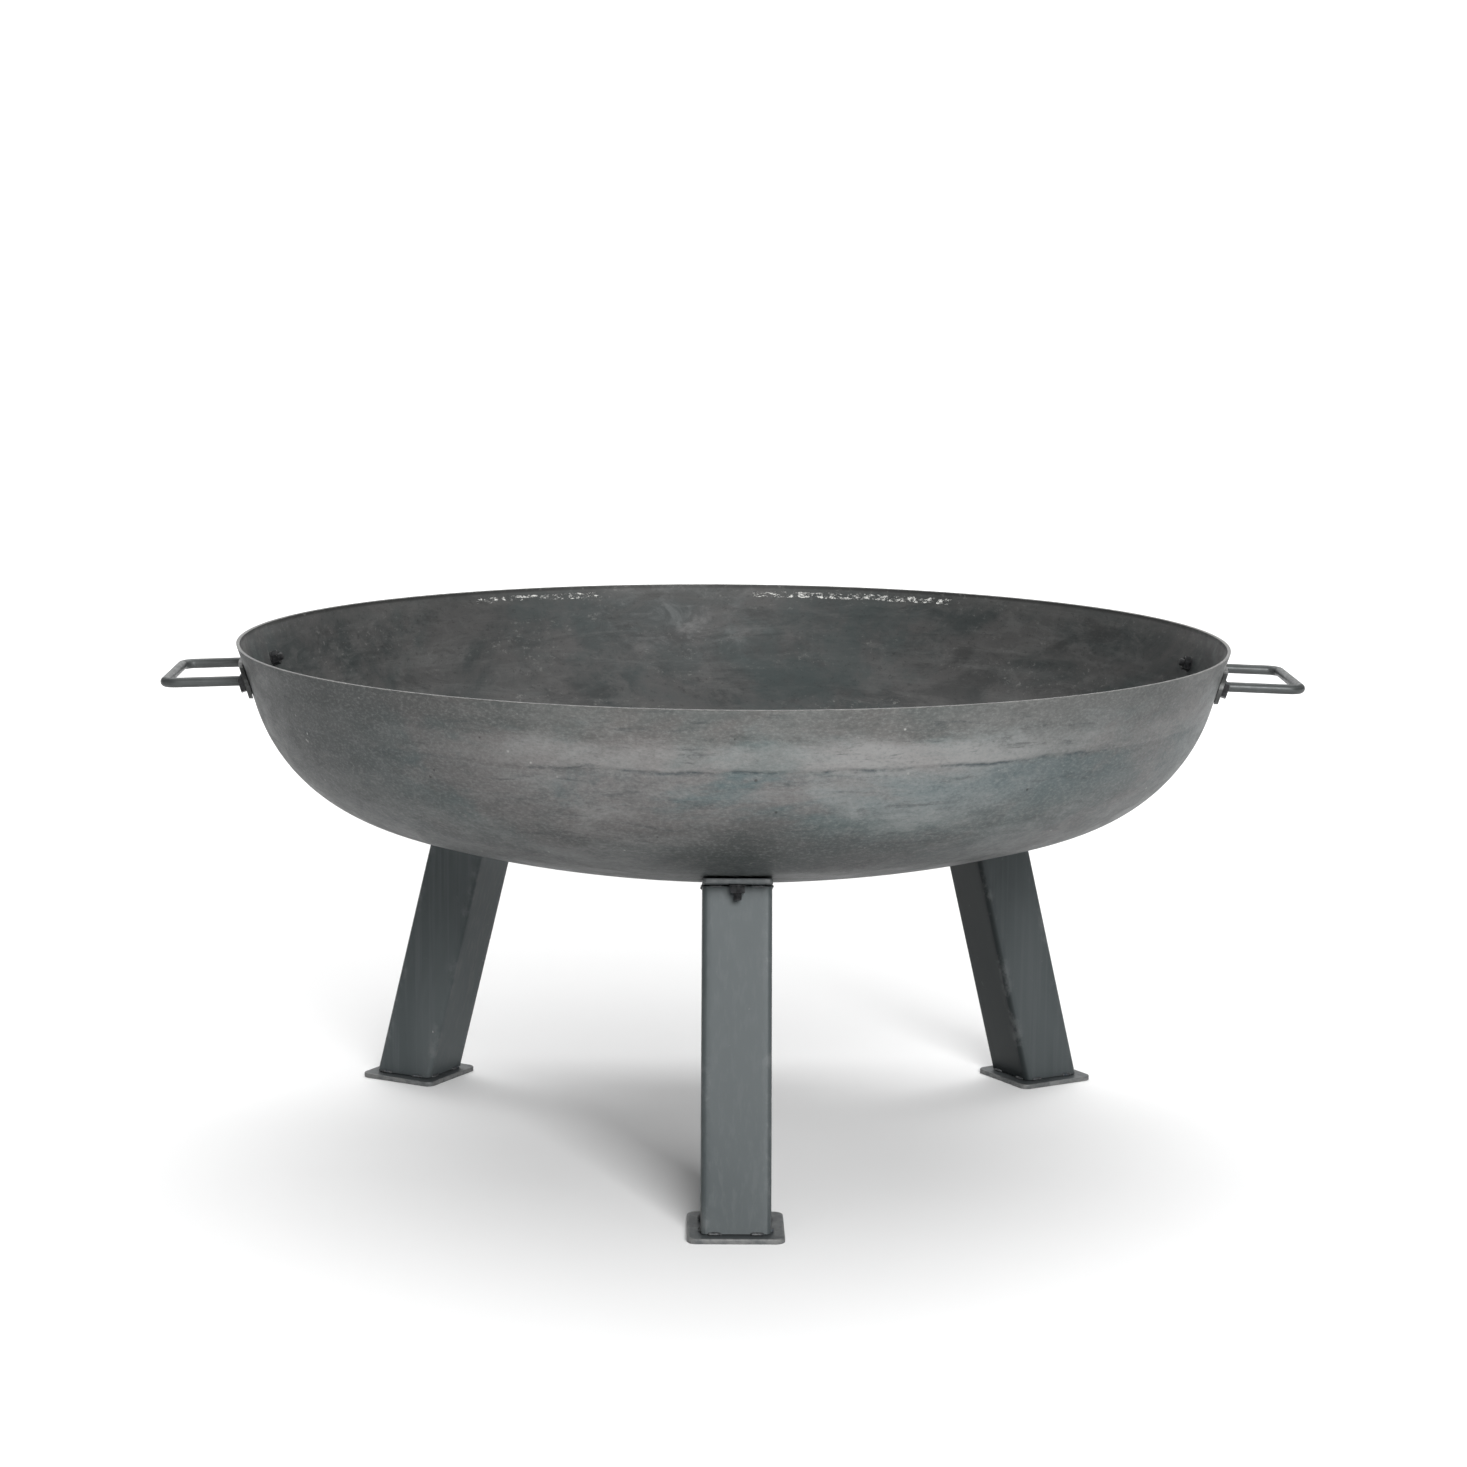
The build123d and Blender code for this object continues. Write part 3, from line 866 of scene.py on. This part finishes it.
def build_nut(node, axis, side):
    place = upright(centre(node) - axis * NUT / 2, axis, side)
    parts = (0.0, 0.03, 0.06, 0.1, 0.16, 0.3, 0.5, 0.7, 0.84, 0.9, 0.94, 0.97, 1.0)
    rings = [(0.0041, 0.0008), (0.0048, 0.0), (0.0056, 0.0)]
    rings += [(BEYOND, NUT * part) for part in parts]
    rings += [(0.0054, NUT), (0.0048, NUT), (0.0041, NUT - 0.0008)]

    def shape(radius, z, angle):
        radius = clipped(radius, z, angle, NUT, True)
        return place @ Vector((radius * math.cos(angle), radius * math.sin(angle), z))

    nut = turned_shape(node + "_m8", rings, 48, ("nut",), shape, True)
    adopt(nut, node)


def build_washer(node, axis, side):
    """Punched washer: one edge rolled over, the other sharp."""
    place = upright(centre(node) - axis * WASHER_THICK / 2, axis, side)
    rings = [(WASHER_HOLE, 0.0), (WASHER - 0.0002, 0.0), (WASHER, 0.0003), (WASHER, 0.0009),
             (WASHER - 0.00015, 0.0013), (WASHER - 0.0005, 0.00155), (WASHER - 0.0009, WASHER_THICK),
             (WASHER_HOLE + 0.0004, WASHER_THICK), (WASHER_HOLE + 0.0001, 0.0014), (WASHER_HOLE, 0.0010)]

    def shape(radius, z, angle):
        return place @ Vector((radius * math.cos(angle), radius * math.sin(angle), z))

    washer = turned_shape(node + "_m8", rings, 64, ("washer",), shape, True)
    adopt(washer, node)


def build_fasteners(prefix, side):
    """One bolt, its nut and its washer; one flat of the hexagons faces side."""
    axis = flat_normal(prefix + "washer", centre(prefix + "washer") - centre(prefix + "nut"))
    build_bolt(prefix + "bolt", axis, side)
    build_nut(prefix + "nut", axis, side)
    build_washer(prefix + "washer", axis, side)


# ---------------------------------------------------------------- assembly
build_bowl()
rng = random.Random(5)
for side in LEGS:
    build_tube(side)
    build_leg_plates(side)
    build_tacks(f"leg_{side}_foot_welds", f"leg_{side}_foot_beads", rng, FOOT_BEAD)
    build_tacks(f"leg_{side}_top_welds", f"leg_{side}_top_beads", rng, SEAT_BEAD)
    across = leg_directions(side)[1]
    for end in ("outer", "inner"):
        build_fasteners(f"leg_{side}_{end}_", across)

for side in HANDLES:
    build_collars(f"handle_{side}_welds", f"handle_{side}_fillets", rng)
    for end in ("front", "rear"):
        build_fasteners(f"handle_{side}_{end}_", Vector((0.35, 0.35, 1.0)))

for part, material in (("rod", "bar"), ("plate", "flange")):
    for side in HANDLES:
        mesh = nodes[f"handle_{side}_{part}"].data
        mesh.materials.clear()
        mesh.materials.append(MATERIALS[material])


# ---------------------------------------------------------------- stage
FLOOR_HALF, SWEEP = 14.0, 5.0  # the floor's half width, and the radius that it sweeps up with


def build_floor():
    """A pale floor that sweeps up behind the object."""
    profile = [(-9.0, 0.0)] + [(y, 0.0) for y in np.linspace(-6, 6, 9)]
    for turn in np.linspace(0.1, math.pi / 2, 14):
        profile.append((6 + SWEEP * math.sin(turn), SWEEP - SWEEP * math.cos(turn)))
    profile.append((11.0, 9.0))
    verts, faces = [], []
    for y, z in profile:
        verts += [(-FLOOR_HALF, y, z), (FLOOR_HALF, y, z)]
    for i in range(len(profile) - 1):
        faces.append((2 * i, 2 * i + 1, 2 * i + 3, 2 * i + 2))
    mesh = bpy.data.meshes.new("floor")
    mesh.from_pydata(verts, [], faces)
    mesh.polygons.foreach_set("use_smooth", [True] * len(faces))
    mesh.materials.append(floor_paint())
    floor = bpy.data.objects.new("floor", mesh)
    scene.collection.objects.link(floor)


def add_softbox(name, place, aim, width, height, power):
    light = bpy.data.lights.new(name, "AREA")
    light.shape = "RECTANGLE"
    light.size, light.size_y, light.energy = width, height, power
    obj = bpy.data.objects.new(name, light)
    turn = (Vector(aim) - Vector(place)).to_track_quat("-Z", "Y")
    obj.matrix_world = Matrix.Translation(place) @ turn.to_matrix().to_4x4()
    scene.collection.objects.link(obj)


def set_world(strength):
    """An even white glow from all around."""
    world = bpy.data.worlds.new("studio")
    world.use_nodes = True
    background = world.node_tree.nodes["Background"]
    background.inputs["Color"].default_value = (1.0, 1.0, 1.0, 1.0)
    background.inputs["Strength"].default_value = strength
    scene.world = world


build_floor()
set_world(0.20)
add_softbox("key", (0.9, -4.2, 2.2), (0.0, 0, 0.40), 2.0, 1.5, 260.0)
add_softbox("overhead", (0.0, 0.0, 4.2), (0, 0, 0), 5.0, 5.0, 75.0)
add_softbox("back_wash", (0.0, 4.5, 6.5), (0, 7.5, 1.0), 9.0, 4.0, 820.0)


# ---------------------------------------------------------------- camera
EYE = (-0.0573, -3.5337, 0.951)
TILT_DOWN, TURN_RIGHT, ROLL = math.radians(8.76), math.radians(0.94), math.radians(0.48)
LENS, SENSOR = 86.14, 36.0


def add_camera():
    level = math.cos(TILT_DOWN)
    ahead = Vector((math.sin(TURN_RIGHT) * level, math.cos(TURN_RIGHT) * level, -math.sin(TILT_DOWN)))
    right = Vector((math.cos(TURN_RIGHT), -math.sin(TURN_RIGHT), 0.0))
    up = right.cross(ahead)
    x = right * math.cos(ROLL) + up * math.sin(ROLL)
    y = up * math.cos(ROLL) - right * math.sin(ROLL)
    data = bpy.data.cameras.new("camera")
    data.lens, data.sensor_width = LENS, SENSOR
    camera = bpy.data.objects.new("camera", data)
    camera.matrix_world = Matrix.Translation(EYE) @ Matrix((x, y, -ahead)).transposed().to_4x4()
    scene.collection.objects.link(camera)
    scene.camera = camera


add_camera()
scene.view_settings.view_transform = "Standard"
